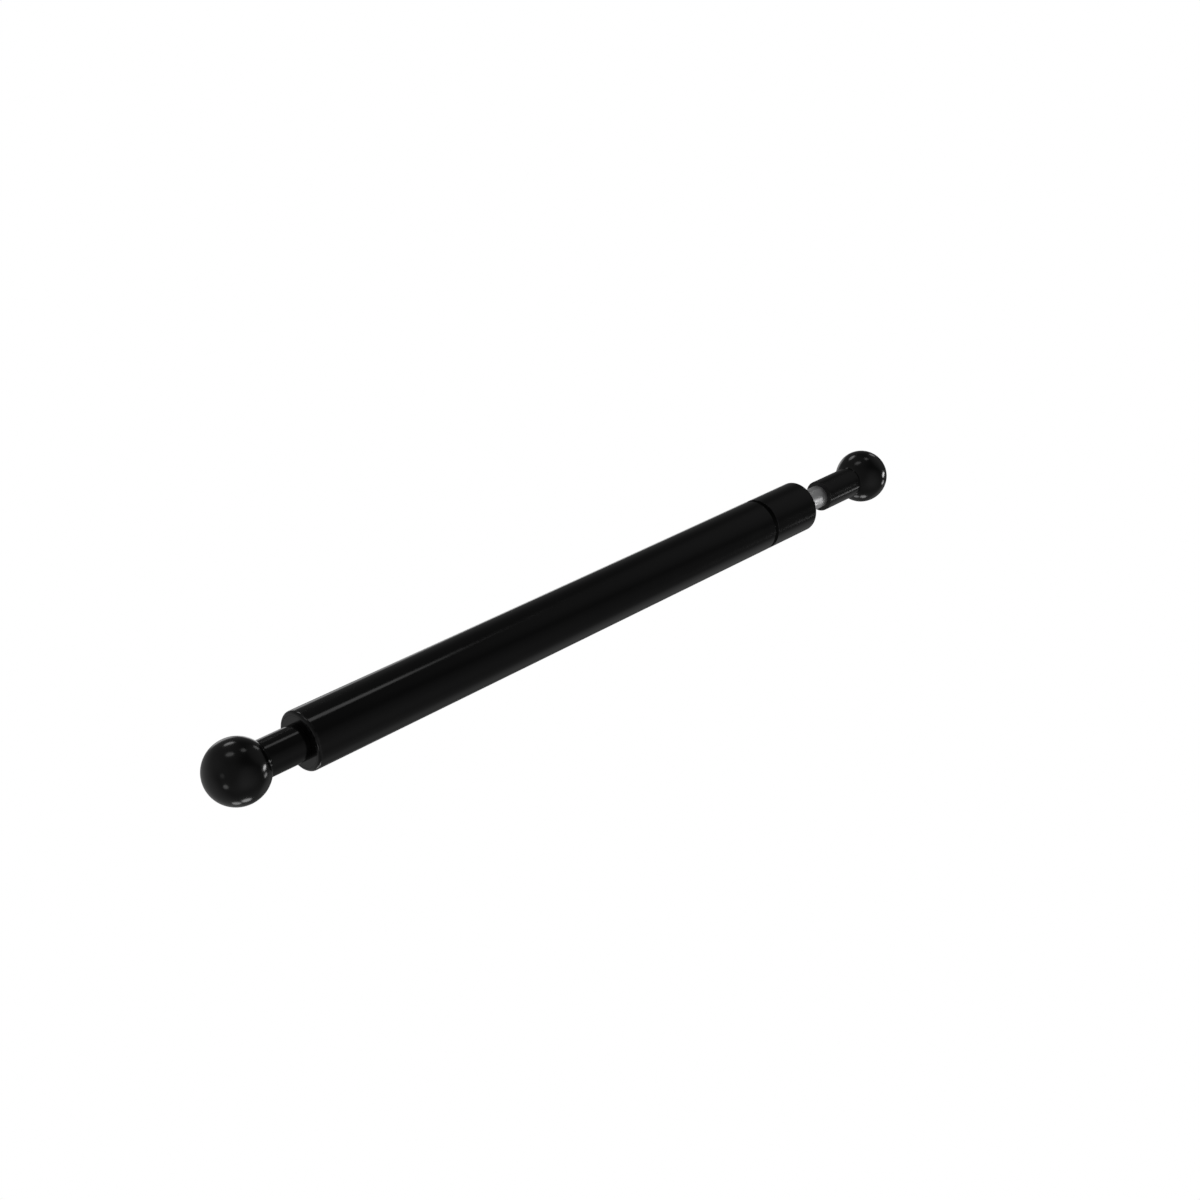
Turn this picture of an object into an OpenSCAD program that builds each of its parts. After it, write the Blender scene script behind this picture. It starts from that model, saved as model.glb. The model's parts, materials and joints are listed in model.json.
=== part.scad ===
// Gas strut stay with a ball socket on each end, drawn closed.
// The strut lies along X. The origin is the centre of the base ball, the rod leaves towards +X,
// and both sockets open towards +Y.

/* [Pressure tube] */
// Length of the pressure tube
tube_length = 197.1; // [170:0.1:260]
// Outside diameter of the pressure tube, its end plug and the gland collar
tube_d = 18; // [17.6:0.1:22]
// Wall of the pressure tube
tube_wall = 1.2; // [0.8:0.1:1.4]
// Edge break on the outer corners of the tube and the collar
edge_break = 0.4; // [0.1:0.1:0.6]
// Roll of the tube's rim where it closes over the base plug
rim_roll = 1; // [0.4:0.1:1.2]

/* [Rod and piston] */
// Diameter of the piston rod
rod_d = 8; // [7:0.1:9.6]
// Length of rod left showing when the strut is closed
rod_show = 13; // [3:0.5:30]
// Length of the piston
piston_length = 8.5; // [6:0.5:12]
// Diameter of the rod's turned tail that carries the piston
tail_d = 5; // [4:0.5:5.5]
// Width of the split piston ring
ring_width = 2; // [1:0.1:3]
// Radial thickness of the split piston ring
ring_thick = 1.1; // [0.8:0.1:1.3]
// Opening of the piston ring at its split
ring_split = 0.6; // [0.2:0.1:1.5]
// Diameter of each damping port through the piston
port_d = 1.2; // [0.6:0.1:1.4]
// Number of damping ports
port_count = 3; // [1:1:6]
// Thickness of the spring disc that covers the ports
disc_thick = 0.4; // [0.2:0.1:0.8]
// Thickness of the washer under the piston nut
washer_thick = 0.8; // [0.5:0.1:1.5]
// Height of the piston nut
nut_height = 4; // [3:0.5:6]
// Width across the flats of the piston nut
nut_flats = 8; // [7:0.5:10]
// Length of the rod's tail left past the nut
tail_past_nut = 0.8; // [0.3:0.1:2]

/* [Base plug] */
// Length of the plug that closes the tube
plug_length = 12; // [8:0.5:20]
// Height of the stud's head inside the tube
stud_head_h = 1.6; // [1:0.1:3]
// Diameter of the stud's head inside the tube
stud_head_d = 10; // [8:0.5:12]
// Free space between the stud's head and the rod's tail when the strut is closed
closed_gap = 3.4; // [1:0.1:10]

/* [Gland] */
// Length of the gland collar outside the tube
collar_length = 21.5; // [17:0.5:30]
// Length of the gland spigot, from the collar back into the tube
spigot_length = 17; // [16:0.5:25]
// Width of the rubber ring between the tube and the collar
seam_width = 1.9; // [1:0.1:3]
// Depth of the rubber ring below the surface of the tube
seam_recess = 0.08; // [0.02:0.02:0.3]
// Length of the guide bush
bush_length = 12; // [8:0.5:12]
// Wall of the guide bush
bush_wall = 1; // [0.6:0.1:1.5]
// Depth of the wiper seat in the face of the collar
wiper_depth = 4; // [3:0.5:5]
// Radial height of the wiper and of the rod seal above the rod
seal_height = 2; // [1.6:0.1:2.2]
// Length of the rod seal
seal_length = 6; // [4:0.5:7]
// Thickness of the ring behind the rod seal
backing_thick = 1.5; // [1:0.1:2]
// Thickness of the washer that holds the rod seal in
retainer_thick = 1.5; // [1:0.1:2]
// Thickness of the circlip
circlip_thick = 1; // [0.8:0.1:1.2]
// Radial depth of the circlip's groove
circlip_groove = 0.5; // [0.3:0.1:0.6]

/* [Ball sockets] */
// Diameter of the round head of each socket
head_d = 19; // [17:0.5:23]
// Diameter of the shank of each socket
shank_d = 11; // [9:0.5:13]
// Distance from the base ball's centre to the tube
base_shank = 20.5; // [16:0.5:40]
// Distance from the rod ball's centre to the end of its shank
rod_shank = 26; // [20:0.5:45]
// Diameter of the ball stud that the sockets take
ball_d = 10; // [8:0.5:12]
// Distance from the ball's centre to the flat face round the mouth
mouth_depth = 7.2; // [6:0.1:8]
// Chamfer round the mouth
mouth_chamfer = 0.6; // [0.2:0.1:1]
// Diameter of the clip's spring wire
clip_wire_d = 1; // [0.8:0.1:1.2]
// Distance from the ball's centre to the clip, towards the mouth
clip_offset = 2.2; // [1.6:0.1:2.4]
// Opening of the clip between its ends
clip_split = 3; // [1:0.5:5]
// Diameter of the threads that hold the sockets on
thread_d = 6; // [5:0.1:7.2]
// Length of thread inside each socket's shank
thread_length = 12; // [8:0.5:12]

/* [Fits] */
// Radial clearance of the rod in its bush, and of the seal lips on the rod
running_gap = 0.05; // [0.02:0.01:0.1]
// Radial clearance of the piston ring in the tube
ring_gap = 0.04; // [0.02:0.01:0.1]
// Side clearance of the piston ring in its groove
ring_side_gap = 0.06; // [0.03:0.01:0.1]
// Radial clearance of the piston in the tube
piston_gap = 0.2; // [0.1:0.05:0.4]
// Radial clearance of the rod in the bare bores of the gland
rod_relief = 0.35; // [0.3:0.05:0.6]
// Radial clearance between pieces that are pressed, screwed or clamped together
seat_gap = 0.02; // [0.01:0.01:0.05]
// Radial clearance of the ball in the bottom of its socket
ball_seat_gap = 0.05; // [0.02:0.01:0.1]
// Radial clearance of the ball in the bore of its socket
ball_bore_gap = 0.15; // [0.12:0.01:0.25]
// Clearance of the clip wire all round in its groove
clip_gap = 0.1; // [0.05:0.05:0.2]
// Space left between the piston and the gland when the strut is fully open
stop_gap = 0.5; // [0.3:0.1:2]
// Section of the O-rings once squeezed
o_ring_d = 1.1; // [0.8:0.1:1.2]

/* [Hidden] */

$fn = 96;
over = 1;                     // how far a cut runs past the face it opens
thread_end_gap = 0.5;         // space left at the blind end of each thread
hex = 6;                      // sides of a nut
half_roll = 1 - sqrt(1 / 2);  // how far in a quarter round lies at its middle, of its radius

tube_r = tube_d / 2;
bore_r = tube_r - tube_wall;
rod_r = rod_d / 2;
tail_r = tail_d / 2;
head_r = head_d / 2;
shank_r = shank_d / 2;
ball_r = ball_d / 2;
thread_r = thread_d / 2;

// Stations along X, from the base ball to the rod ball
x_tube = base_shank;
x_plug_inner = x_tube + plug_length;
x_tube_end = x_tube + tube_length;
x_collar = x_tube_end + seam_width;
x_spigot = x_collar - spigot_length;
x_collar_end = x_collar + collar_length;
x_rod_shoulder = x_collar_end + rod_show;
x_rod_ball = x_rod_shoulder + rod_shank;

// Piston stack, from the rod's tail to the shoulder that the piston seats on
x_tail = x_plug_inner + stud_head_h + closed_gap;
x_nut = x_tail + tail_past_nut;
x_washer = x_nut + nut_height;
x_disc = x_washer + washer_thick;
x_piston = x_disc + disc_thick;
x_piston_end = x_piston + piston_length;
stroke = x_spigot - stop_gap - x_piston_end;
echo(stroke = stroke, ball_to_ball = x_rod_ball);

// Gland, from the outer face inwards
seal_r = rod_r + seal_height;
bush_r = rod_r + bush_wall;
relief_r = rod_r + rod_relief;
spigot_r = bore_r - seat_gap;
x_wiper = x_collar_end - wiper_depth;
bush_stop = 2.5;              // ring of metal between the bush and the wiper
x_bush_end = x_wiper - bush_stop;
x_bush = x_bush_end - bush_length;
spigot_lip = 0.8;             // metal left inside of the circlip's groove
circlip_side_gap = 0.1;       // width the groove has over the circlip
x_circlip_groove = x_spigot + spigot_lip;
x_circlip = x_circlip_groove + circlip_side_gap;
x_retainer = x_circlip + circlip_thick;
x_seal = x_retainer + retainer_thick;
x_backing = x_seal + seal_length;
x_seal_shoulder = x_backing + backing_thick;

o_ring_groove_w = o_ring_d + 0.4;
o_ring_groove_r = bore_r - o_ring_d - 2 * seat_gap;
o_ring_land = 0.8;            // metal between an O-ring groove and the end of the tube
x_plug_o_ring = x_tube + plug_length / 2;
x_gland_o_ring = x_tube_end - o_ring_land - o_ring_groove_w / 2;

piston_r = bore_r - piston_gap;
ring_r = bore_r - ring_gap;
ring_inner_r = ring_r - ring_thick;
ring_back_gap = 0.1;          // space behind the piston ring
ring_groove_r = ring_inner_r - ring_back_gap;
x_ring = x_piston + (piston_length - ring_width) / 2;
disc_r = ring_groove_r - 0.4;
port_circle_r = (rod_r + disc_r) / 2;
washer_r = port_circle_r - port_d / 2 - 0.1;

pocket_r = ball_r + ball_seat_gap;
socket_bore_r = ball_r + ball_bore_gap;
clip_wire_r = clip_wire_d / 2;
// The clip's wire rests on the mouth side of the ball
clip_r = sqrt(pow(ball_r + clip_wire_r + ball_seat_gap, 2) - pow(clip_offset, 2));
clip_spread = ball_r - (clip_r - clip_wire_r) + clip_gap;

// A turned piece on the X axis, from a profile of [x, radius] points
module turned(profile) {
  rotate([0, 90, 0])
    rotate_extrude() polygon([for (p = profile) [p[1], p[0]]]);
}

// A plain ring on the X axis
module ring(x0, x1, inner_r, outer_r) {
  turned([[x0, inner_r], [x1, inner_r], [x1, outer_r], [x0, outer_r]]);
}

// A solid bar on the X axis
module bar(x0, x1, r) {
  translate([x0, 0, 0]) rotate([0, 90, 0]) cylinder(h = x1 - x0, r = r);
}

// A bar on the Y axis, which may taper from r0 to r1
module bar_y(y0, y1, r0, r1) {
  translate([0, y0, 0]) rotate([-90, 0, 0]) cylinder(h = y1 - y0, r1 = r0, r2 = r1);
}

// A round wire ring on the X axis
module wire_ring(x, centre_r, wire_r) {
  translate([x, 0, 0]) rotate([0, 90, 0])
    rotate_extrude() translate([centre_r, 0]) circle(r = wire_r, $fn = 32);
}

// A solid with its end corners broken, on the X axis; a break of 0 leaves a corner sharp
module broken_bar(x0, x1, r, break0, break1) {
  turned([
    [x0, 0], [x0, r - break0], [x0 + break0, r],
    [x1 - break1, r], [x1, r - break1], [x1, 0]
  ]);
}

// The groove that an O-ring sits in, as a cutting ring
module o_ring_groove(x) {
  ring(x - o_ring_groove_w / 2, x + o_ring_groove_w / 2, o_ring_groove_r, tube_r);
}

// An O-ring squeezed between its groove and the tube
module o_ring(x) {
  wire_ring(x, o_ring_groove_r + seat_gap + o_ring_d / 2, o_ring_d / 2);
}

// A ball socket at the origin, with its shank along +X and its mouth towards +Y
module socket_head(shank_length) {
  groove_half = clip_wire_r + clip_gap;
  groove_r = clip_r + clip_wire_r + clip_spread;
  chamfer_y = mouth_depth - mouth_chamfer;
  difference() {
    union() {
      sphere(r = head_r);
      bar(0, shank_length, shank_r);
    }
    translate([-head_r, mouth_depth, -head_r]) cube([head_d, head_r, head_d]);
    sphere(r = pocket_r);
    bar_y(0, mouth_depth + over, socket_bore_r, socket_bore_r);
    bar_y(clip_offset - groove_half, clip_offset + groove_half, groove_r, groove_r);
    bar_y(chamfer_y, mouth_depth + over, socket_bore_r, socket_bore_r + mouth_chamfer + over);
    bar(shank_length - thread_length - thread_end_gap, shank_length + over, thread_r + seat_gap);
  }
}

// The spring clip that holds the ball in, open towards the shank
module socket_clip() {
  difference() {
    translate([0, clip_offset, 0]) rotate([-90, 0, 0])
      rotate_extrude() translate([clip_r, 0]) circle(r = clip_wire_r, $fn = 32);
    translate([0, 0, -clip_split / 2]) cube([head_r, head_r, clip_split]);
  }
}

module pressure_tube() {
  color("#17181a") turned([
    [x_tube, bore_r], [x_tube_end, bore_r],
    [x_tube_end, tube_r], [x_tube + rim_roll, tube_r],
    [x_tube + rim_roll * half_roll, tube_r - rim_roll * half_roll], [x_tube, tube_r - rim_roll]
  ]);
}

module base_plug() {
  color("#17181a") difference() {
    bar(x_tube, x_plug_inner, bore_r - seat_gap);
    bar(x_tube - over, x_plug_inner + over, thread_r + seat_gap);
    o_ring_groove(x_plug_o_ring);
  }
}

module base_plug_o_ring() {
  color("#0c0c0c") o_ring(x_plug_o_ring);
}

module base_stud() {
  color("#8f9296") turned([
    [x_tube - thread_length, 0], [x_tube - thread_length, thread_r - edge_break],
    [x_tube - thread_length + edge_break, thread_r], [x_plug_inner, thread_r],
    [x_plug_inner, stud_head_d / 2], [x_plug_inner + stud_head_h, stud_head_d / 2],
    [x_plug_inner + stud_head_h, 0]
  ]);
}

module base_socket() {
  color("#141416") socket_head(base_shank);
}

module base_socket_clip() {
  color("#b4b6b8") socket_clip();
}

module gland() {
  color("#17181a") difference() {
    union() {
      ring(x_spigot, x_collar + over, rod_r, spigot_r);
      turned([
        [x_collar, rod_r], [x_collar, tube_r], [x_collar_end - edge_break, tube_r],
        [x_collar_end, tube_r - edge_break], [x_collar_end, rod_r]
      ]);
    }
    bar(x_spigot - over, x_collar_end + over, relief_r);
    bar(x_spigot - over, x_seal_shoulder, seal_r + seat_gap);
    bar(x_circlip_groove, x_retainer, seal_r + circlip_groove);
    bar(x_bush, x_bush_end, bush_r + seat_gap);
    bar(x_wiper, x_collar_end + over, seal_r + seat_gap);
    o_ring_groove(x_gland_o_ring);
  }
}

module gland_o_ring() {
  color("#0c0c0c") o_ring(x_gland_o_ring);
}

module seam_ring() {
  color("#060606") ring(x_tube_end, x_collar, bore_r, tube_r - seam_recess);
}

module guide_bush() {
  color("#a8793f") ring(x_bush, x_bush_end, rod_r + running_gap, bush_r);
}

// A grooved seal with an inner and an outer lip towards the gas
module rod_seal() {
  lip_r = rod_r + running_gap;
  lip = 0.7;
  web = 2.2;
  color("#101010") turned([
    [x_seal, lip_r], [x_backing, lip_r], [x_backing, seal_r], [x_seal, seal_r],
    [x_seal, seal_r - lip], [x_backing - web, (seal_r + lip_r) / 2], [x_seal, lip_r + lip]
  ]);
}

module seal_backing() {
  color("#e8e6df") ring(x_backing, x_seal_shoulder, rod_r + running_gap, seal_r);
}

module seal_retainer() {
  color("#8f9296") ring(x_retainer, x_seal, relief_r, seal_r);
}

module gland_circlip() {
  circlip_r = seal_r + circlip_groove - clip_gap;
  circlip_inner_r = seal_r - 0.8;
  color("#5a5c60") difference() {
    ring(x_circlip, x_retainer, circlip_inner_r, circlip_r);
    translate([x_circlip - over, 0, -clip_split / 2])
      cube([circlip_thick + 2 * over, tube_r, clip_split]);
  }
}

// A wiper with one lip towards the open air
module rod_wiper() {
  lip_r = rod_r + running_gap;
  lip = 0.5;
  heel = 1.6;
  face = 0.3;
  x_face = x_collar_end - face;
  color("#101010") turned([
    [x_wiper, relief_r], [x_wiper + heel, relief_r], [x_face - lip, lip_r],
    [x_face, lip_r], [x_face, lip_r + lip], [x_wiper + heel, seal_r - lip],
    [x_face, seal_r - lip], [x_face, seal_r], [x_wiper, seal_r]
  ]);
}

module piston_ring() {
  color("#d8d4c6") difference() {
    ring(x_ring, x_ring + ring_width, ring_inner_r, ring_r);
    translate([x_ring - over, 0, -ring_split / 2])
      cube([ring_width + 2 * over, tube_r, ring_split]);
  }
}

module piston_rod() {
  color("#c3c6c9") turned([
    [x_tail, 0], [x_tail, tail_r - edge_break], [x_tail + edge_break, tail_r],
    [x_piston_end, tail_r], [x_piston_end, rod_r], [x_rod_shoulder, rod_r],
    [x_rod_shoulder, thread_r], [x_rod_shoulder + thread_length - edge_break, thread_r],
    [x_rod_shoulder + thread_length, thread_r - edge_break], [x_rod_shoulder + thread_length, 0]
  ]);
}

module piston() {
  color("#9a9da1") difference() {
    broken_bar(x_piston, x_piston_end, piston_r, edge_break, edge_break);
    bar(x_piston - over, x_piston_end + over, tail_r + seat_gap);
    ring(x_ring - ring_side_gap, x_ring + ring_width + ring_side_gap, ring_groove_r, tube_r);
    for (i = [0 : port_count - 1])
      rotate([i * 360 / port_count, 0, 0])
        translate([0, 0, port_circle_r])
          bar(x_piston - over, x_piston_end + over, port_d / 2);
  }
}

module valve_disc() {
  color("#5a5c60") ring(x_disc, x_piston, tail_r + seat_gap, disc_r);
}

module piston_washer() {
  color("#8f9296") ring(x_washer, x_disc, tail_r + seat_gap, washer_r);
}

module piston_nut() {
  color("#8f9296") difference() {
    translate([x_nut, 0, 0]) rotate([0, 90, 0])
      cylinder(h = nut_height, r = nut_flats / sqrt(3), $fn = hex);
    bar(x_nut - over, x_washer + over, tail_r + seat_gap);
  }
}

module rod_socket() {
  color("#141416") translate([x_rod_ball, 0, 0]) mirror([1, 0, 0]) socket_head(rod_shank);
}

module rod_socket_clip() {
  color("#b4b6b8") translate([x_rod_ball, 0, 0]) mirror([1, 0, 0]) socket_clip();
}

pressure_tube();
base_plug();
base_plug_o_ring();
base_stud();
base_socket();
base_socket_clip();
gland();
gland_o_ring();
seam_ring();
guide_bush();
rod_seal();
seal_backing();
seal_retainer();
gland_circlip();
rod_wiper();
piston_ring();
piston_rod();
piston();
valve_disc();
piston_washer();
piston_nut();
rod_socket();
rod_socket_clip();
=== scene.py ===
"""Looks of a slim gas strut stay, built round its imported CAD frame.

The strut lies along X with the base ball's centre at the origin. Both ball sockets open towards +Y,
and the bright rod leaves the black cylinder towards +X. All sizes are in metres.
"""

import json
import logging
import math
from dataclasses import dataclass, field
from enum import Enum

import bpy
import numpy as np
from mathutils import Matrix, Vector


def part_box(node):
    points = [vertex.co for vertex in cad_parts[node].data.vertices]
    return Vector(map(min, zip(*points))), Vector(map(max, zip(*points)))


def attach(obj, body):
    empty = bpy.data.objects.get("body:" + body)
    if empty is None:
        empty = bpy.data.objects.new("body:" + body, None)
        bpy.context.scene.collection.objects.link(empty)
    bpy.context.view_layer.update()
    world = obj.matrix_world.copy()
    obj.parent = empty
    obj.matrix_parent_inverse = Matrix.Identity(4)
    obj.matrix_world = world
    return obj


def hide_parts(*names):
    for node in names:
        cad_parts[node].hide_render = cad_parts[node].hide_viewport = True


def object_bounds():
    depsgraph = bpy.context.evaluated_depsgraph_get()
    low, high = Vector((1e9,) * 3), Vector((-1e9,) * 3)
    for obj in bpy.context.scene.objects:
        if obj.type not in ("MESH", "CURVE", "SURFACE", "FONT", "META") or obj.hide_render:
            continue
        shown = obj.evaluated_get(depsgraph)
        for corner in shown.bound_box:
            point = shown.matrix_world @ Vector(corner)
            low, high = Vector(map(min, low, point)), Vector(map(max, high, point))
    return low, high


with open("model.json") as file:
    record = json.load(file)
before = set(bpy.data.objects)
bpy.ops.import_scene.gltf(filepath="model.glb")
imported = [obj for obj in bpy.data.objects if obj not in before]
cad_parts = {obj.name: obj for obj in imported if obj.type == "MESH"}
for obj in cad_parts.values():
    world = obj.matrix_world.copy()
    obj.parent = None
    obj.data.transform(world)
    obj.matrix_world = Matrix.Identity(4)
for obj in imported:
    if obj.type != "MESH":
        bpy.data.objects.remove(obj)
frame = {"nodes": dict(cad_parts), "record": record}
CAD_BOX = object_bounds()

LOG = logging.getLogger("strut")
MM = 0.001
AROUND = 256                # facets round every turned piece
ARC_STEPS = 6               # facets across a rounded corner
LONGEST_FACET = 4 * MM      # facets along a straight stretch are no longer than this
SAME_WAY = 1e-6             # directions closer than this angle count as one
ONE_SPOT = 1e-7             # rings smaller than this are a single point
TUBE_WALL = 1.2 * MM
FIT = 0.02 * MM             # gap between two pieces that fit each other
GROOVE_GAP = 0.2 * MM       # room for an O-ring at each side of its groove


# ------------------------------------------------------------------ outlines and skins


@dataclass(frozen=True)
class Corner:
    """One corner of a turned outline.

    Args:
        along: station on the turning axis.
        radius: distance from the turning axis.
        rounding: radius that the corner is rounded to.
        normal: known shading normal (along, outwards) of a point on a curve.
    """

    along: float
    radius: float
    rounding: float = 0.0
    normal: tuple[float, float] | None = None

    def point(self) -> np.ndarray:
        """Returns the corner as a point of the half section."""
        return np.array((self.along, self.radius))


@dataclass(frozen=True)
class Station:
    """A ring's place in the half section, with a shading normal for the band on each side."""

    point: np.ndarray
    before: np.ndarray
    after: np.ndarray
    edge: float = 0.0


def unit(vector: np.ndarray) -> np.ndarray:
    """Returns the vector, or each row of an array of vectors, at length one."""
    return vector / np.linalg.norm(vector, axis=-1, keepdims=True)


def compass(azimuth: float, elevation: float) -> Vector:
    """Gives the direction at an azimuth from +X towards +Y and an elevation.

    Args:
        azimuth: degrees about the upright axis.
        elevation: degrees above the horizon.

    Returns:
        The direction, at length one.
    """
    turn, rise = math.radians(azimuth), math.radians(elevation)
    return Vector((math.cos(rise) * math.cos(turn), math.cos(rise) * math.sin(turn), math.sin(rise)))


class Outline:
    """The half section of a turned piece, from its corners to shaded stations."""

    def __init__(self, corners: list[Corner], closed: bool = True) -> None:
        """Works out the stations.

        Args:
            corners: the outline's corners in order, in either sense.
            closed: whether the last corner joins the first; an open outline ends on the axis.
        """
        self.corners = corners
        self.closed = closed
        self.side = self._outer_side()
        self.stations: list[Station] = []
        for index in range(len(corners)):
            self._add_corner(index)
        self._split_long_stretches()

    def _outer_side(self) -> float:
        """Finds which side of the outline is the outside.

        Returns:
            +1 if the outside lies right of the way the outline runs, else -1.
        """
        points = [corner.point() for corner in self.corners]
        twice_area = sum(a[0] * b[1] - b[0] * a[1] for a, b in zip(points, points[1:] + points[:1]))
        return 1.0 if twice_area > 0 else -1.0

    def _neighbour(self, index: int, step: int) -> Corner | None:
        """Finds the corner before or after another.

        Args:
            index: the corner's number.
            step: -1 for the one before, 1 for the one after.

        Returns:
            The neighbour, or None past the end of an open outline.
        """
        other = index + step
        if self.closed or 0 <= other < len(self.corners):
            return self.corners[other % len(self.corners)]
        return None

    def _stretch_normal(self, start: np.ndarray, end: np.ndarray) -> np.ndarray:
        """Returns the outward normal of a straight stretch."""
        way = unit(end - start)
        return self.side * np.array((way[1], -way[0]))

    def _add_corner(self, index: int) -> None:
        """Adds one corner's station, or the stations of its rounding.

        Args:
            index: the corner's number.
        """
        corner = self.corners[index]
        earlier, later = self._neighbour(index, -1), self._neighbour(index, 1)
        point = corner.point()
        if corner.normal is not None:
            normal = unit(np.array(corner.normal))
            self.stations.append(Station(point, normal, normal))
            return
        before = self._stretch_normal(earlier.point(), point) if earlier else None
        after = self._stretch_normal(point, later.point()) if later else None
        before = after if before is None else before
        after = before if after is None else after
        if corner.rounding <= 0:
            self.stations.append(Station(point, before, after))
            return
        back, onward = unit(earlier.point() - point), unit(later.point() - point)
        half_angle = math.acos(float(np.clip(back @ onward, -1, 1))) / 2
        centre = point + unit(back + onward) * corner.rounding / math.sin(half_angle)
        start = point + back * corner.rounding / math.tan(half_angle)
        bulge = math.copysign(1.0, float((start - centre) @ before))
        for step in range(ARC_STEPS + 1):
            normal = self._between(before, after, step / ARC_STEPS)
            self.stations.append(Station(centre + bulge * corner.rounding * normal, normal, normal, 1.0))

    @staticmethod
    def _between(first: np.ndarray, second: np.ndarray, share: float) -> np.ndarray:
        """Turns evenly from one direction to another.

        Args:
            first: the direction at a share of 0.
            second: the direction at a share of 1.
            share: how far round to turn.

        Returns:
            The direction that far round.
        """
        angle = math.acos(float(np.clip(first @ second, -1, 1)))
        if angle < SAME_WAY:
            return first
        return (math.sin((1 - share) * angle) * first + math.sin(share * angle) * second) / math.sin(angle)

    def _split_long_stretches(self) -> None:
        """Puts extra stations along straight stretches, so that no facet is long and thin."""
        split: list[Station] = []
        last = len(self.stations) - (0 if self.closed else 1)
        for index, here in enumerate(self.stations):
            split.append(here)
            if index >= last:
                continue
            there = self.stations[(index + 1) % len(self.stations)]
            pieces = math.ceil(float(np.linalg.norm(there.point - here.point)) / LONGEST_FACET)
            for step in range(1, pieces):
                point = here.point + (there.point - here.point) * step / pieces
                split.append(Station(point, here.after, here.after))
        self.stations = split


class Skin:
    """A closed surface laid up ring by ring, with exact shading normals and marked edges."""

    def __init__(self) -> None:
        """Starts with no rings."""
        self.rings: list[np.ndarray] = []
        self.before: list[np.ndarray] = []
        self.after: list[np.ndarray] = []
        self.edges: list[float] = []

    def add(self, ring: np.ndarray, before: np.ndarray, after: np.ndarray, edge: float = 0.0) -> None:
        """Lays one more ring.

        Args:
            ring: the ring's points, which may all lie on one spot.
            before: their shading normals for the band before the ring.
            after: their shading normals for the band after the ring.
            edge: how far the ring lies on a worn edge, from 0 to 1.
        """
        spot = float(np.ptp(ring, axis=0).max()) < ONE_SPOT
        self.rings.append(ring[:1] if spot else ring)
        self.before.append(before)
        self.after.append(after)
        self.edges.append(edge)

    def turn(self, outline: Outline, axis: "Axis", angles: np.ndarray) -> None:
        """Lays the rings of an outline turned about an axis.

        Args:
            outline: the half section.
            axis: the axis that it turns about.
            angles: the turning angle of each point of a ring.
        """
        for station in outline.stations:
            self.add(
                axis.place(station.point, angles),
                axis.place(station.before, angles),
                axis.place(station.after, angles),
                station.edge,
            )

    def mesh(self, name: str, closed: bool) -> bpy.types.Mesh:
        """Builds the mesh.

        Args:
            name: the mesh's name.
            closed: whether the last ring joins the first.

        Returns:
            The mesh, with faces turned outwards as the shading normals are.
        """
        starts = np.cumsum([0] + [len(ring) for ring in self.rings])
        faces: list[list[int]] = []
        normals: list[np.ndarray] = []
        last = len(self.rings) - (0 if closed else 1)
        for index in range(last):
            self._add_band(index, starts, faces, normals)
        mesh = bpy.data.meshes.new(name)
        mesh.from_pydata(np.concatenate(self.rings).tolist(), [], faces)
        mesh.polygons.foreach_set("use_smooth", [True] * len(faces))
        mesh.normals_split_custom_set(np.concatenate(normals).tolist())
        worn = mesh.attributes.new("worn_edge", "FLOAT", "POINT")
        worn.data.foreach_set("value", np.repeat(self.edges, [len(ring) for ring in self.rings]))
        return mesh

    def _add_band(
        self, first: int, starts: np.ndarray, faces: list[list[int]], normals: list[np.ndarray],
    ) -> None:
        """Adds the facets between a ring and the next.

        Args:
            first: index of the ring that the band starts on.
            starts: index of each ring's first point.
            faces: the list that the facets go to.
            normals: the list that their corner normals go to.
        """
        second = (first + 1) % len(self.rings)
        count = len(self.after[first])
        for here in range(count):
            there = (here + 1) % count
            corners = [(first, here), (first, there), (second, there), (second, here)]
            if len(self.rings[first]) == 1:
                corners.pop(1)
            elif len(self.rings[second]) == 1:
                corners.pop(2)
            face = [int(starts[ring] + spot % len(self.rings[ring])) for ring, spot in corners]
            shade = [(self.after if ring == first else self.before)[ring][spot] for ring, spot in corners]
            spread = [self.rings[ring][spot % len(self.rings[ring])] for ring, spot in corners]
            facing = np.cross(spread[1] - spread[0], spread[2] - spread[1])
            if facing @ np.sum(shade, axis=0) < 0:
                face.reverse()
                shade.reverse()
            faces.append(face)
            normals.append(np.array(shade))


class Axis(Enum):
    """The axis that a piece is turned about."""

    STRUT = "x"
    MOUTH = "y"

    def place(self, half_section: np.ndarray, angles: np.ndarray) -> np.ndarray:
        """Turns a point or normal of the half section into a ring of them.

        Args:
            half_section: the distances along and away from the axis.
            angles: the turning angles.

        Returns:
            One row of x, y and z for each angle.
        """
        along = np.full(len(angles), half_section[0])
        across, up = half_section[1] * np.cos(angles), half_section[1] * np.sin(angles)
        columns = (along, across, up) if self is Axis.STRUT else (across, along, up)
        return np.column_stack(columns)


@dataclass(frozen=True)
class Span:
    """Where a CAD node lies: its two ends along the strut and its outer radius."""

    start: float
    end: float
    radius: float

    @classmethod
    def of(cls, node: str) -> "Span":
        """Returns the span of the CAD node of that name."""
        low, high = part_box(node)
        return cls(low.x, high.x, high.z)


def even_angles(count: int = AROUND) -> np.ndarray:
    """Returns that many angles, evenly round a circle."""
    return np.arange(count) * math.tau / count


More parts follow.
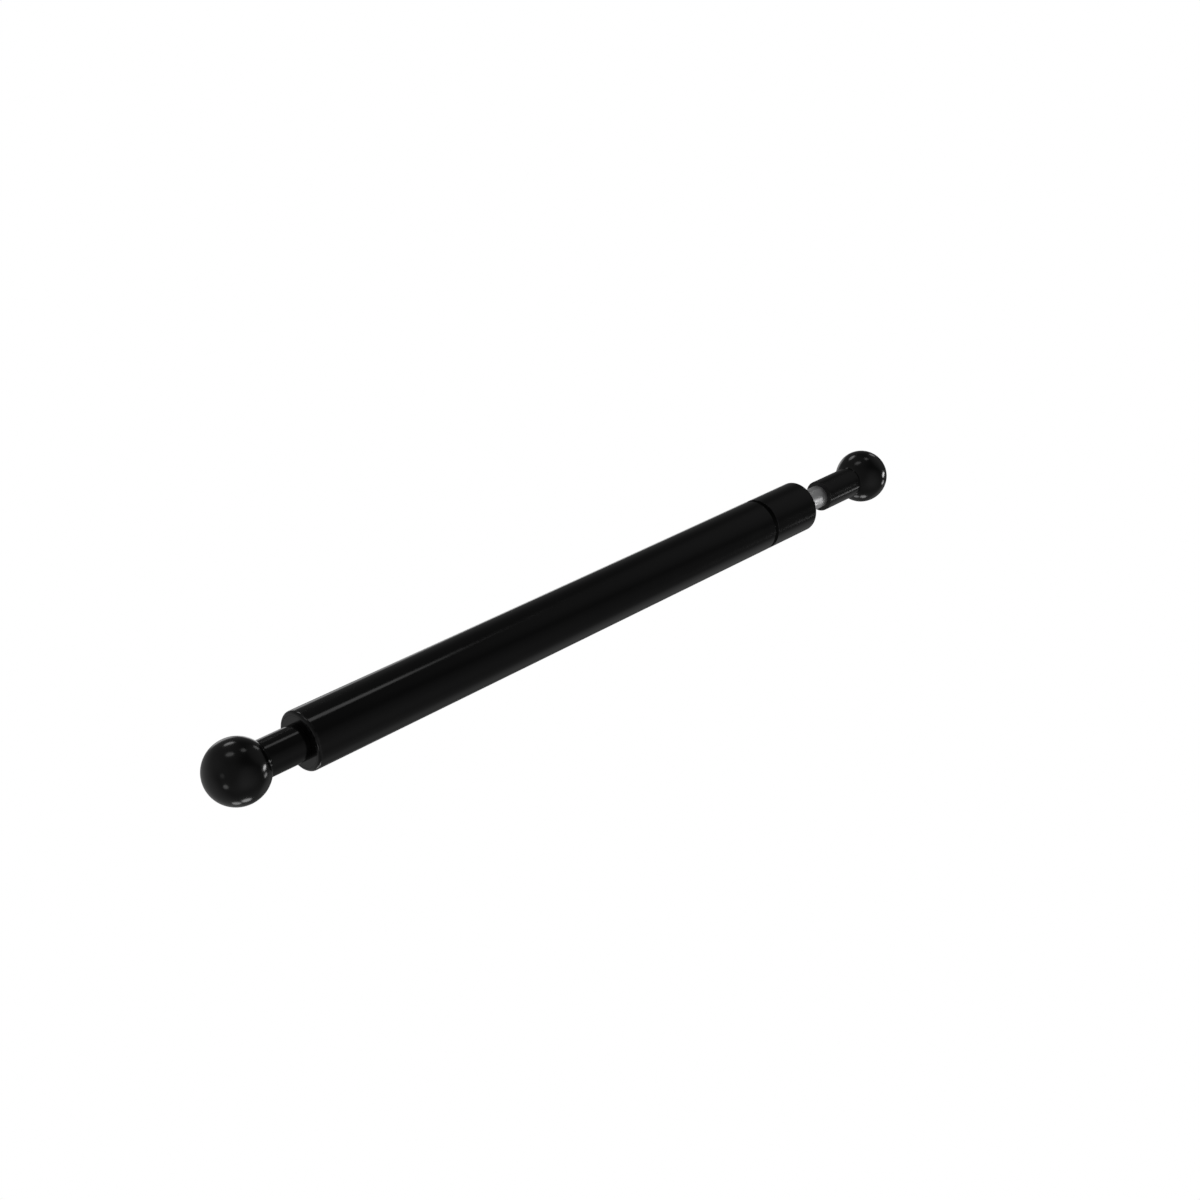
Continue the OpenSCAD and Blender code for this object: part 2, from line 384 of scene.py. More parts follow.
def arc_corners(
    along: float, out: float, radius: float, start: float, end: float, steps: int = ARC_STEPS,
) -> list[Corner]:
    """Draws an arc of a half section, with exact shading normals.

    Args:
        along: station of the arc's centre.
        out: the centre's distance from the axis.
        radius: the arc's radius, negative where the surface is hollow.
        start: angle of the first normal from the axis.
        end: angle of the last normal.
        steps: facets across the arc.

    Returns:
        The arc's points.
    """
    corners = []
    for step in range(steps + 1):
        turn = start + (end - start) * step / steps
        normal = (math.cos(turn), math.sin(turn))
        corners.append(Corner(along + radius * normal[0], out + radius * normal[1], normal=normal))
    return corners


def groove_corners(node: str, radius: float, rounding: float = 0.0) -> list[Corner]:
    """Draws the groove that an O-ring sits in.

    Args:
        node: the O-ring's CAD node.
        radius: radius of the surface that the groove is cut into.
        rounding: radius that the groove's two edges are rounded to.

    Returns:
        The groove's four corners, from its start to its end.
    """
    ring = Span.of(node)
    start, end = ring.start - GROOVE_GAP, ring.end + GROOVE_GAP
    floor = ring.radius - (ring.end - ring.start)
    return [
        Corner(start, radius, rounding),
        Corner(start, floor),
        Corner(end, floor),
        Corner(end, radius, rounding),
    ]


def in_scene(name: str, data: bpy.types.ID) -> bpy.types.Object:
    """Puts something new in the scene.

    Args:
        name: what it is called.
        data: its mesh, lamp or camera.

    Returns:
        The new object.
    """
    placed = bpy.data.objects.new(name, data)
    bpy.context.scene.collection.objects.link(placed)
    return placed


def add_piece(mesh: bpy.types.Mesh, node: str, body: str, finish: "Finish") -> None:
    """Puts a mesh in the scene in place of a CAD node, and dresses it.

    Args:
        mesh: the finished mesh, in the row frame.
        node: the CAD node that it stands for.
        body: the CAD body that it rides on.
        finish: the finish of its surface.
    """
    piece = in_scene(mesh.name, mesh)
    mesh.materials.append(finish.material())
    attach(piece, body)
    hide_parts(node)
    LOG.info("%s rides on %s in %s", piece.name, body, finish.slot)


def turned_piece(
    name: str, node: str, body: str, finish: "Finish", corners: list[Corner], closed: bool = True,
) -> None:
    """Turns an outline about the strut's axis into a finished piece.

    Args:
        name: the piece's name.
        node: the CAD node that it stands for.
        body: the CAD body that it rides on.
        finish: the finish of its surface.
        corners: the outline's corners.
        closed: whether the outline is a closed ring; otherwise it ends on the axis.
    """
    skin = Skin()
    skin.turn(Outline(corners, closed), Axis.STRUT, even_angles())
    add_piece(skin.mesh(name, closed), node, body, finish)


# ------------------------------------------------------------------ finishes


Colour = tuple[float, float, float]
Limits = tuple[float, float]
Socket = bpy.types.NodeSocket
Value = float | tuple[float, ...] | Vector | Socket


class Nodes:
    """A node tree, with the few steps that the finishes and the studio's walls are made from."""

    def __init__(self, owner: bpy.types.Material | bpy.types.World) -> None:
        """Clears the nodes of a material or a world.

        Args:
            owner: the material or world.
        """
        owner.use_nodes = True
        self.tree = owner.node_tree
        self.tree.nodes.clear()

    def node(
        self, kind: str, values: dict[str | int, Value] | None = None, **settings: object,
    ) -> bpy.types.Node:
        """Adds a node.

        Args:
            kind: the node's type.
            values: what goes into its inputs.
            settings: its properties.

        Returns:
            The new node.
        """
        made = self.tree.nodes.new(kind)
        for name, setting in settings.items():
            setattr(made, name, setting)
        for place, value in (values or {}).items():
            self.feed(made.inputs[place], value)
        return made

    def feed(self, socket: Socket, value: Value) -> None:
        """Links another node's output to an input, or sets the input to a number or colour.

        Args:
            socket: the input.
            value: what goes into it.
        """
        if isinstance(value, Socket):
            self.tree.links.new(value, socket)
        else:
            socket.default_value = value

    def maths(self, operation: str, first: Value, second: Value) -> Socket:
        """Returns the sum or product of two values."""
        made = self.node("ShaderNodeMath", {0: first, 1: second}, operation=operation)
        return made.outputs["Value"]

    def spread(
        self, value: Value, low: float, high: float,
        start: float = 0.0, end: float = 1.0, fade: str = "LINEAR",
    ) -> Socket:
        """Maps a value from its own range to another.

        Args:
            value: the value.
            low: the result at the start of its range.
            high: the result at the end of its range.
            start: the start of its range.
            end: the end of its range.
            fade: the kind of slope between the two.

        Returns:
            The mapped value, held between low and high.
        """
        limits = {"Value": value, "From Min": start, "From Max": end, "To Min": low, "To Max": high}
        mapped = self.node("ShaderNodeMapRange", limits, clamp=True, interpolation_type=fade)
        return mapped.outputs["Result"]


@dataclass(frozen=True)
class Grain:
    """Soft random grain.

    Args:
        size: width of one grain.
        detail: how many finer layers lie in it.
        stretch: how much finer it is along each axis.
        low: the grain's value where a patch starts to show.
        high: its value where a patch shows in full.
    """

    size: float
    detail: float = 3.0
    stretch: tuple[float, float, float] = (1, 1, 1)
    low: float = 0.3
    high: float = 0.7


class Graph(Nodes):
    """A material's node tree: one shader and the patterns that feed it."""

    WEAR: Grain = Grain(1.1 * MM, low=0.45, high=0.62)
    WORN_FROM: float = 0.92     # how far onto an edge its wear starts

    def __init__(self, material: bpy.types.Material) -> None:
        """Clears the material's nodes and puts in one shader.

        Args:
            material: the material.
        """
        super().__init__(material)
        self.shader = self.node("ShaderNodeBsdfPrincipled")
        self.node("ShaderNodeOutputMaterial", {"Surface": self.shader.outputs["BSDF"]})
        self.place = self.node("ShaderNodeTexCoord").outputs["Object"]
        self.grains: dict[Grain, Socket] = {}

    def grain(self, grain: Grain) -> Socket:
        """Adds a grain's noise, in the piece's own coordinates, unless it is there already.

        Args:
            grain: the grain.

        Returns:
            The noise, which is 0.5 on average.
        """
        if grain not in self.grains:
            scale = tuple(stretch / grain.size for stretch in grain.stretch)
            mapping = self.node("ShaderNodeMapping", {"Vector": self.place, "Scale": scale})
            values = {"Vector": mapping.outputs["Vector"], "Scale": 1.0, "Detail": grain.detail}
            self.grains[grain] = self.node("ShaderNodeTexNoise", values).outputs["Fac"]
        return self.grains[grain]

    def patches(self, grain: Grain, low: float = 0.0, high: float = 1.0) -> Socket:
        """Returns a value that goes from low to high where the grain shows as patches."""
        return self.spread(self.grain(grain), low, high, grain.low, grain.high)

    def worn(self) -> Socket:
        """Finds the worn edges, broken up by grain.

        Returns:
            How worn each point is, from 0 to 1.
        """
        marked = self.node("ShaderNodeAttribute", attribute_name="worn_edge").outputs["Fac"]
        edge = self.spread(marked, 0, 1, self.WORN_FROM)
        return self.maths("MULTIPLY", edge, self.patches(self.WEAR))

    def blended(self, factor: Value, first: Value, second: Value) -> Socket:
        """Blends two colours.

        Args:
            factor: share of the second colour.
            first: a colour, or a socket that gives one.
            second: a colour, or a socket that gives one.

        Returns:
            The blended colour.
        """
        mix = self.node("ShaderNodeMix", {"Factor": factor}, data_type="RGBA")
        sockets = [socket for socket in mix.inputs if socket.type == "RGBA"]
        for socket, colour in zip(sockets, (first, second)):
            self.feed(socket, (*colour, 1.0) if isinstance(colour, tuple) else colour)
        return next(socket for socket in mix.outputs if socket.type == "RGBA")


@dataclass(frozen=True)
class Finish:
    """A surface finish, which the record knows by its slot.

    Args:
        slot: the record's name for it.
        colour: its main colour.
        patch_colour: the colour of its patches.
        patches: the grain of its patches.
        roughness: its least and greatest roughness.
        smears: the grain of its roughness.
        relief: the grain of its relief.
        relief_depth: the real height of its relief.
        worn_colour: the colour of its worn edges, if it has them.
        worn_roughness: how much rougher they are.
        metallic: 1 for bare metal.
        ior: how strongly it bends light.
        shine: how strongly it mirrors, where 0.5 is as its bending of light gives.
    """

    slot: str
    colour: Colour
    patch_colour: Colour
    patches: Grain
    roughness: Limits
    smears: Grain
    relief: Grain
    relief_depth: float
    worn_colour: Colour | None = None
    worn_roughness: float = 0.0
    metallic: float = 0.0
    ior: float = 1.5
    shine: float = 0.5

    def material(self) -> bpy.types.Material:
        """Makes this finish's material the first time that it is asked for.

        Returns:
            The material.
        """
        name = f"{self.slot}_finish"
        made = bpy.data.materials.get(name)
        if made is None:
            made = bpy.data.materials.new(name)
            self._paint(Graph(made))
        return made

    def _paint(self, graph: Graph) -> None:
        """Puts the finish's nodes into a graph.

        Args:
            graph: the material's graph.
        """
        colour = graph.blended(graph.patches(self.patches), self.colour, self.patch_colour)
        roughness = graph.patches(self.smears, *self.roughness)
        if self.worn_colour is not None:
            worn = graph.worn()
            colour = graph.blended(worn, colour, self.worn_colour)
            roughness = graph.maths("ADD", roughness, graph.spread(worn, 0, self.worn_roughness))
        height = {"Height": graph.grain(self.relief), "Distance": self.relief_depth, "Strength": 1.0}
        values = {
            "Base Color": colour,
            "Roughness": roughness,
            "Normal": graph.node("ShaderNodeBump", height).outputs["Normal"],
            "Metallic": self.metallic,
            "IOR": self.ior,
            "Specular IOR Level": self.shine,
        }
        for name, value in values.items():
            graph.feed(graph.shader.inputs[name], value)

    def dress(self, node: str) -> None:
        """Gives a CAD node this finish in all its material slots.

        Args:
            node: the CAD node.
        """
        piece = frame["nodes"][node]
        piece.data.materials.clear()
        piece.data.materials.append(self.material())
        LOG.info("%s keeps its CAD shape in %s", node, self.slot)


@dataclass(frozen=True)
class StoveEnamel(Finish):
    """Gloss black baked enamel on steel: faint flow ripple, and thin paint on its edges."""

    slot: str = "black_enamel"
    colour: Colour = (0.0012, 0.0012, 0.0013)
    patch_colour: Colour = (0.002, 0.002, 0.0021)
    patches: Grain = Grain(14 * MM)
    roughness: Limits = (0.115, 0.15)
    smears: Grain = Grain(9 * MM, 4)
    relief: Grain = Grain(1.4 * MM, 2)
    relief_depth: float = 0.0004 * MM
    worn_colour: Colour = (0.012, 0.012, 0.0125)
    worn_roughness: float = 0.12


@dataclass(frozen=True)
class MouldedNylon(Finish):
    """Gloss black glass-filled nylon, as moulded: fine skin texture and a faint bloom."""

    slot: str = "black_moulding"
    colour: Colour = (0.0012, 0.0012, 0.0012)
    patch_colour: Colour = (0.0035, 0.0035, 0.0034)
    patches: Grain = Grain(6 * MM, 4, low=0.45)
    roughness: Limits = (0.135, 0.185)
    smears: Grain = Grain(2.5 * MM, 4)
    relief: Grain = Grain(0.7 * MM)
    relief_depth: float = 0.0004 * MM
    worn_colour: Colour = (0.009, 0.009, 0.009)
    worn_roughness: float = 0.15


@dataclass(frozen=True)
class HardChrome(Finish):
    """Ground and polished hard chrome: fine grinding rings round the rod."""

    slot: str = "bright_rod"
    colour: Colour = (0.9, 0.905, 0.91)
    patch_colour: Colour = (0.96, 0.965, 0.97)
    patches: Grain = Grain(0.12 * MM, 2, (1, 0.03, 0.03))
    roughness: Limits = (0.38, 0.43)
    smears: Grain = Grain(0.5 * MM, 3, (1, 0.1, 0.1))
    relief: Grain = Grain(0.12 * MM, 2, (1, 0.03, 0.03))
    relief_depth: float = 0.00015 * MM
    metallic: float = 1.0


@dataclass(frozen=True)
class TurnedMetal(Finish):
    """Bare turned metal: tool rings round the axis."""

    slot: str = "plain_steel"
    colour: Colour = (0.42, 0.43, 0.45)
    patch_colour: Colour = (0.55, 0.56, 0.58)
    patches: Grain = Grain(0.15 * MM, 2, (1, 0.05, 0.05))
    roughness: Limits = (0.23, 0.36)
    smears: Grain = Grain(1.5 * MM)
    relief: Grain = Grain(0.15 * MM, 2, (1, 0.05, 0.05))
    relief_depth: float = 0.0008 * MM
    metallic: float = 1.0


@dataclass(frozen=True)
class SinteredBronze(Finish):
    """Oil-soaked sintered bronze: tiny pores and darker patches of oil."""

    slot: str = "bearing_bronze"
    colour: Colour = (0.52, 0.36, 0.18)
    patch_colour: Colour = (0.3, 0.2, 0.1)
    patches: Grain = Grain(2.2 * MM)
    roughness: Limits = (0.3, 0.5)
    smears: Grain = Grain(0.12 * MM, 4)
    relief: Grain = Grain(0.12 * MM, 4)
    relief_depth: float = 0.003 * MM
    metallic: float = 1.0


@dataclass(frozen=True)
class SlipPlastic(Finish):
    """Off-white filled slippery plastic: flecks of filler and a waxy surface."""

    slot: str = "white_slip_plastic"
    colour: Colour = (0.78, 0.76, 0.7)
    patch_colour: Colour = (0.62, 0.59, 0.52)
    patches: Grain = Grain(0.25 * MM, 4, low=0.5)
    roughness: Limits = (0.35, 0.5)
    smears: Grain = Grain(1.2 * MM)
    relief: Grain = Grain(0.25 * MM, 4)
    relief_depth: float = 0.001 * MM
    ior: float = 1.38


@dataclass(frozen=True)
class NitrileRubber(Finish):
    """Matt black nitrile rubber: dusty bloom and a pebbled skin."""

    slot: str = "seal_rubber"
    colour: Colour = (0.0006, 0.0006, 0.0006)
    patch_colour: Colour = (0.0022, 0.0022, 0.0022)
    patches: Grain = Grain(1.6 * MM, 4)
    roughness: Limits = (0.6, 0.75)
    smears: Grain = Grain(0.15 * MM)
    relief: Grain = Grain(0.15 * MM)
    relief_depth: float = 0.002 * MM
    shine: float = 0.04


ENAMEL = StoveEnamel()
NYLON = MouldedNylon()
CHROME = HardChrome()
STEEL = TurnedMetal()
SPRING_WIRE = TurnedMetal(
    slot="spring_wire", colour=(0.5, 0.51, 0.53), patch_colour=(0.62, 0.63, 0.65), roughness=(0.17, 0.3),
)
ALLOY = TurnedMetal(
    slot="piston_alloy", colour=(0.56, 0.57, 0.59), patch_colour=(0.66, 0.67, 0.69), roughness=(0.25, 0.38),
)
BRONZE = SinteredBronze()
SLIP_PLASTIC = SlipPlastic()
RUBBER = NitrileRubber()


# ------------------------------------------------------------------ the strut's sub-assemblies


@dataclass
class Cylinder:
    """The black pressure tube with the plug that closes its base end."""

    body: str = "barrel"
    rim_roll: float = 1.0 * MM
    seam_rounding: float = 0.05 * MM
    tube: Span = field(default_factory=lambda: Span.of("pressure_tube"))
    plug: Span = field(default_factory=lambda: Span.of("base_plug"))

    def build(self) -> None:
        """Builds and dresses the tube and its plug."""
        self.build_tube()
        self.build_plug()

    def build_tube(self) -> None:
        """Turns the pressure tube."""
        bore = self.tube.radius - TUBE_WALL
        turned_piece("Pressure_tube", "pressure_tube", self.body, ENAMEL, [
            Corner(self.tube.start, bore, self.seam_rounding),
            Corner(self.tube.start, self.tube.radius, self.rim_roll),
            Corner(self.tube.end, self.tube.radius, self.seam_rounding),
            Corner(self.tube.end, bore, self.seam_rounding),
        ])

    def build_plug(self) -> None:
        """Turns the base plug, with the hole for its stud and the groove for its O-ring."""
        hole = Span.of("base_stud").radius + FIT
        outer, edge = self.plug.radius, self.seam_rounding
        turned_piece("Base_plug", "base_plug", self.body, ENAMEL, [
            Corner(self.plug.start, hole),
            Corner(self.plug.start, outer, edge),
            *groove_corners("base_plug_o_ring", outer, edge),
            Corner(self.plug.end, outer, edge),
            Corner(self.plug.end, hole),
        ])


@dataclass
class RodEnd:
    """The black collar at the rod end, with its rubber seam ring and wiper."""

    body: str = "barrel"
    edge_rounding: float = 0.4 * MM
    seam_rounding: float = 0.12 * MM
    inner_rounding: float = 0.1 * MM
    circlip_gap: float = 0.1 * MM
    rod_gap: float = 0.05 * MM
    rod_relief: float = 0.35 * MM
    wiper_lip: float = 0.5 * MM
    wiper_heel: float = 1.6 * MM
    gland: Span = field(default_factory=lambda: Span.of("gland"))
    seam: Span = field(default_factory=lambda: Span.of("seam_ring"))
    wiper: Span = field(default_factory=lambda: Span.of("rod_wiper"))

    def __post_init__(self) -> None:
        """Works out the radii that the three pieces share."""
        rod_radius = Span.of("piston_rod").radius
        self.lip_radius = rod_radius + self.rod_gap
        self.relief_radius = rod_radius + self.rod_relief
        self.bore_radius = Span.of("pressure_tube").radius - TUBE_WALL

    def build(self) -> None:
        """Builds and dresses the collar, the seam ring and the wiper."""
        self.build_gland()
        self.build_seam_ring()
        self.build_wiper()

    def build_gland(self) -> None:
        """Turns the gland: the collar, and the spigot with its seats inside the tube."""
        bush, backing = Span.of("guide_bush"), Span.of("seal_backing")
        retainer, circlip = Span.of("seal_retainer"), Span.of("gland_circlip")
        seat = self.wiper.radius + FIT
        bush_seat = bush.radius + FIT
        spigot = self.bore_radius - FIT
        relief, small = self.relief_radius, self.inner_rounding
        clip_floor = circlip.radius + self.circlip_gap
        clip_start = circlip.start - self.circlip_gap
        turned_piece("Gland_collar", "gland", self.body, ENAMEL, [
            Corner(self.gland.start, seat, small),
            Corner(self.gland.start, spigot, small),
            *groove_corners("gland_o_ring", spigot),
            Corner(self.seam.end, spigot),
            Corner(self.seam.end, self.gland.radius, self.seam_rounding),
            Corner(self.gland.end, self.gland.radius, self.edge_rounding),
            Corner(self.gland.end, seat, self.seam_rounding),
            Corner(self.wiper.start, seat), Corner(self.wiper.start, relief),
            Corner(bush.end, relief), Corner(bush.end, bush_seat),
            Corner(bush.start, bush_seat), Corner(bush.start, relief),
            Corner(backing.end, relief), Corner(backing.end, seat),
            Corner(retainer.start, seat), Corner(retainer.start, clip_floor),
            Corner(clip_start, clip_floor), Corner(clip_start, seat),
        ])

    def build_seam_ring(self) -> None:
        """Turns the thin rubber ring between the tube and the collar."""
        turned_piece("Seam_ring", "seam_ring", self.body, RUBBER, [
            Corner(self.seam.start, self.bore_radius),
            Corner(self.seam.start, self.seam.radius, self.seam_rounding),
            Corner(self.seam.end, self.seam.radius, self.seam_rounding),
            Corner(self.seam.end, self.bore_radius),
        ])

    def build_wiper(self) -> None:
        """Turns the rod wiper, with its one lip towards the open air."""
        start, face, outer = self.wiper.start, self.wiper.end, self.wiper.radius
        heel = start + self.wiper_heel
        lip, small = self.wiper_lip, self.inner_rounding
        turned_piece("Rod_wiper", "rod_wiper", self.body, RUBBER, [
            Corner(start, self.relief_radius, small),
            Corner(heel, self.relief_radius),
            Corner(face - lip, self.lip_radius),
            Corner(face, self.lip_radius, small),
            Corner(face, self.lip_radius + lip, small),
            Corner(heel, outer - lip, small),
            Corner(face, outer - lip, small),
            Corner(face, outer, small),
            Corner(start, outer, small),
        ])


@dataclass
class Rod:
    """The bright piston rod."""

    body: str = "rod"
    tail_radius: float = 2.5 * MM
    thread_length: float = 12 * MM
    thread_radius: float = 3 * MM
    thread_rounding: float = 0.3 * MM
    shoulder_rounding: float = 0.05 * MM
    span: Span = field(default_factory=lambda: Span.of("piston_rod"))

    def build(self) -> None:
        """Turns and dresses the rod."""
        shoulder = self.span.end - self.thread_length
        step = Span.of("piston").end
        turned_piece("Piston_rod", "piston_rod", self.body, CHROME, [
            Corner(self.span.start, 0.0),
            Corner(self.span.start, self.tail_radius, self.thread_rounding),
            Corner(step, self.tail_radius),
            Corner(step, self.span.radius, self.shoulder_rounding),
            Corner(shoulder, self.span.radius, self.shoulder_rounding),
            Corner(shoulder, self.thread_radius),
            Corner(self.span.end, self.thread_radius, self.thread_rounding),
            Corner(self.span.end, 0.0),
        ], closed=False)


class StrutEnd(Enum):
    """The two ends of the strut, each with a ball socket."""

    BASE = "base"
    ROD = "rod"

    @property
    def body(self) -> str:
        """Returns the CAD body that this end's socket rides on."""
        return "barrel" if self is StrutEnd.BASE else "rod"


@dataclass
class BallSocket:
    """A moulded ball socket: round head, shank, snap-in mouth and its spring clip."""

    strut_end: StrutEnd
    ball_radius: float = 5 * MM
    pocket_gap: float = 0.05 * MM
    bore_gap: float = 0.15 * MM
    shank_radius: float = 5.5 * MM
    shank_rounding: float = 0.15 * MM
    root_fillet: float = 0.12 * MM
    mouth_rounding: float = 0.3 * MM
    mouth_chamfer: float = 0.6 * MM
    inner_rounding: float = 0.1 * MM
    thread_radius: float = 3.02 * MM
    thread_depth: float = 12.5 * MM
    wire_radius: float = 0.5 * MM
    wire_gap: float = 0.1 * MM
    clip_station: float = 2.2 * MM
    clip_radius: float = 5.1 * MM
    clip_gap: float = 3 * MM
    wire_facets: int = 32
    wire_steps: int = 120
    wire_cap_steps: int = 6
    pocket_steps: int = 24
    spoke_steps: int = 96

    def __post_init__(self) -> None:
        """Reads the head's size, the shank's length and the ball's place from the CAD node."""
        low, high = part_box(f"{self.strut_end.value}_socket")
        self.head_radius = min(high.z, -low.y)
        self.shank_length = high.x - low.x - self.head_radius
        self.mouth_station = high.y
        based = self.strut_end is StrutEnd.BASE
        self.centre = low.x + self.head_radius if based else high.x - self.head_radius
        self.way = 1.0 if based else -1.0

    def build(self) -> None:
        """Builds and dresses the socket and its clip."""
        name, body = self.strut_end.value, self.strut_end.body
        socket = self._placed(self._socket_skin()).mesh(f"{name.title()}_ball_socket", False)
        add_piece(socket, f"{name}_socket", body, NYLON)
        clip = self._placed(self._clip_skin()).mesh(f"{name.title()}_socket_clip", False)
        add_piece(clip, f"{name}_socket_clip", body, SPRING_WIRE)

    def _placed(self, skin: Skin) -> Skin:
        """Moves a skin to this end of the strut, and mirrors it at the rod end.

        Args:
            skin: a skin laid round the ball's centre.

        Returns:
            The same skin.
        """
        mirror = np.array((self.way, 1.0, 1.0))
        offset = np.array((self.centre, 0.0, 0.0))
        skin.rings = [ring * mirror + offset for ring in skin.rings]
        skin.before = [normals * mirror for normals in skin.before]
        skin.after = [normals * mirror for normals in skin.after]
        return skin

    def _socket_skin(self) -> Skin:
        """Lays the skin from the pocket, out of the mouth, over the head and down the shank.

        Returns:
            The socket's skin, round the ball's centre.
        """
        angles = even_angles()
        mouth = self._mouth_outline()
        shank = self._shank_outline()
        skin = Skin()
        skin.turn(mouth, Axis.MOUTH, angles)
        spokes, shank_angles = self._spokes(mouth.stations[-1].point, shank.stations[0].point, angles)
        for ring in spokes[1:-1]:
            skin.add(ring, unit(ring), unit(ring))
        skin.turn(shank, Axis.STRUT, shank_angles)
        return skin

    def _mouth_outline(self) -> Outline:
        """Draws the pocket, the clip's groove, the bore and the mouth's rim.

        Returns:
            Their outline about the mouth's axis.
        """
        pocket = self.ball_radius + self.pocket_gap
        bore = self.ball_radius + self.bore_gap
        groove = self.clip_radius + self.wire_radius * 2
        half_groove = self.wire_radius + self.wire_gap
        small = self.inner_rounding
        return Outline([
            *arc_corners(0.0, 0.0, -pocket, 0.0, -math.pi / 2, self.pocket_steps)[:-1],
            Corner(0.0, pocket),
            Corner(0.0, bore),
            Corner(self.clip_station - half_groove, bore, small),
            Corner(self.clip_station - half_groove, groove, small),
            Corner(self.clip_station + half_groove, groove, small),
            Corner(self.clip_station + half_groove, bore, small),
            Corner(self.mouth_station - self.mouth_chamfer, bore, small),
            Corner(self.mouth_station, bore + self.mouth_chamfer, small),
            *self._rim_corners(),
        ], closed=False)

    def _rim_corners(self) -> list[Corner]:
        """Rounds the rim between the flat round the mouth and the ball of the head.

        Returns:
            The rim's corners, from the flat outwards.
        """
        inner = self.head_radius - self.mouth_rounding
        along = self.mouth_station - self.mouth_rounding
        out = math.sqrt(inner ** 2 - along ** 2)
        return arc_corners(along, out, self.mouth_rounding, 0.0, math.atan2(out, along))

    def _shank_outline(self) -> Outline:
        """Draws the fillet at the head, the shank, its end and the blind hole.

        Returns:
            Their outline about the strut's axis.
        """
        fillet = self.root_fillet
        outer = self.head_radius + fillet
        out = self.shank_radius + fillet
        along = math.sqrt(outer ** 2 - out ** 2)
        length = self.shank_length
        return Outline([
            *arc_corners(along, out, -fillet, math.atan2(out, along), math.pi / 2),
            Corner(length, self.shank_radius, self.shank_rounding),
            Corner(length, self.thread_radius, self.inner_rounding),
            Corner(length - self.thread_depth, self.thread_radius),
            Corner(length - self.thread_depth, 0.0),
        ], closed=False)

    def _spokes(
        self, rim: np.ndarray, root: np.ndarray, angles: np.ndarray,
    ) -> tuple[list[np.ndarray], np.ndarray]:
        """Covers the ball between the mouth's rim and the shank's root with spokes.

        Each spoke is cut by a plane through the middles of both openings, so it is an arc on the ball
        and leaves no pole or seam between the two.

        Args:
            rim: the rim's station and radius about the mouth's axis.
            root: the root's station and radius about the strut's axis.
            angles: where the spokes leave the rim, about the mouth's axis.

        Returns:
            The rings across the spokes, and where the spokes meet the root, about the strut's axis.
        """
        ball = self.head_radius
        feet = Axis.MOUTH.place(rim, angles)
        lean = feet[:, 0] + feet[:, 1] - ball
        rise = feet[:, 2]
        # a spoke's plane cuts the root where cosine * cos(turn) + sine * sin(turn) = level
        cosine = root[1] * rise
        sine = -root[1] * lean
        level = (ball - root[0]) * rise
        base = np.arctan2(sine, cosine)
        swing = np.arccos(np.clip(level / np.hypot(cosine, sine), -1, 1))
        choices = np.stack((base + swing, base - swing))
        reach = (root[0] - ball + root[1] * np.cos(choices)) * lean + root[1] * np.sin(choices) * rise
        root_angles = np.where(reach[0] > reach[1], choices[0], choices[1])
        heads = Axis.STRUT.place(root, root_angles)
        middle = np.array((ball / 2, ball / 2, 0.0))
        along = unit(np.array((1.0, -1.0, 0.0)))
        out = feet - middle
        out = unit(out - np.outer(out @ along, along))
        centres = middle - np.sum(middle * out, axis=1)[:, None] * out
        start = np.arctan2((feet - centres) @ along, np.sum((feet - centres) * out, axis=1))
        end = np.arctan2((heads - centres) @ along, np.sum((heads - centres) * out, axis=1))
        radii = np.linalg.norm(feet - centres, axis=1)[:, None]
        rings = []
        for step in range(self.spoke_steps + 1):
            turn = (start + (end - start) * step / self.spoke_steps)[:, None]
            rings.append(centres + radii * (np.cos(turn) * out + np.sin(turn) * along))
        return rings, root_angles

    def _clip_skin(self) -> Skin:
        """Bends the clip's round wire, open towards the shank, with rounded cut ends.

        Returns:
            The clip's skin, round the ball's centre.
        """
        half_gap = math.asin((self.clip_gap / 2 + self.wire_radius) / self.clip_radius)
        turns = np.linspace(half_gap, math.tau - half_gap, self.wire_steps)
        around = even_angles(self.wire_facets)
        skin = Skin()
        quarter = np.linspace(0, math.pi / 2, self.wire_cap_steps)
        cap = [(math.cos(turn), math.sin(turn)) for turn in quarter]
        stops = [(turns[0], -bulge, share) for bulge, share in cap]
        stops += [(turn, 0.0, 1.0) for turn in turns[1:-1]]
        stops += [(turns[-1], bulge, share) for bulge, share in reversed(cap)]
        for turn, bulge, share in stops:
            outward = np.array((math.cos(turn), 0.0, math.sin(turn)))
            forward = np.array((-math.sin(turn), 0.0, math.cos(turn)))
            upward = np.array((0.0, 1.0, 0.0))
            normal = share * (np.outer(np.cos(around), outward) + np.outer(np.sin(around), upward))
            normal = normal + bulge * forward
            centre = self.clip_radius * outward + np.array((0.0, self.clip_station, 0.0))
            skin.add(centre + self.wire_radius * normal, normal, normal)
        return skin


@dataclass
class InnerParts:
    """The pieces sealed inside the strut, which keep their CAD shapes."""

    finishes: tuple[Finish, ...] = (
        ENAMEL, NYLON, CHROME, STEEL, SPRING_WIRE, ALLOY, BRONZE, SLIP_PLASTIC, RUBBER,
    )

    def build(self) -> None:
        """Dresses every CAD node that still shows, by the record's slots."""
        by_slot = {finish.slot: finish for finish in self.finishes}
        for part in frame["record"]["subparts"]:
            if not frame["nodes"][part["node"]].hide_render:
                by_slot[part["material_slot"]].dress(part["node"])


# ------------------------------------------------------------------ studio and camera


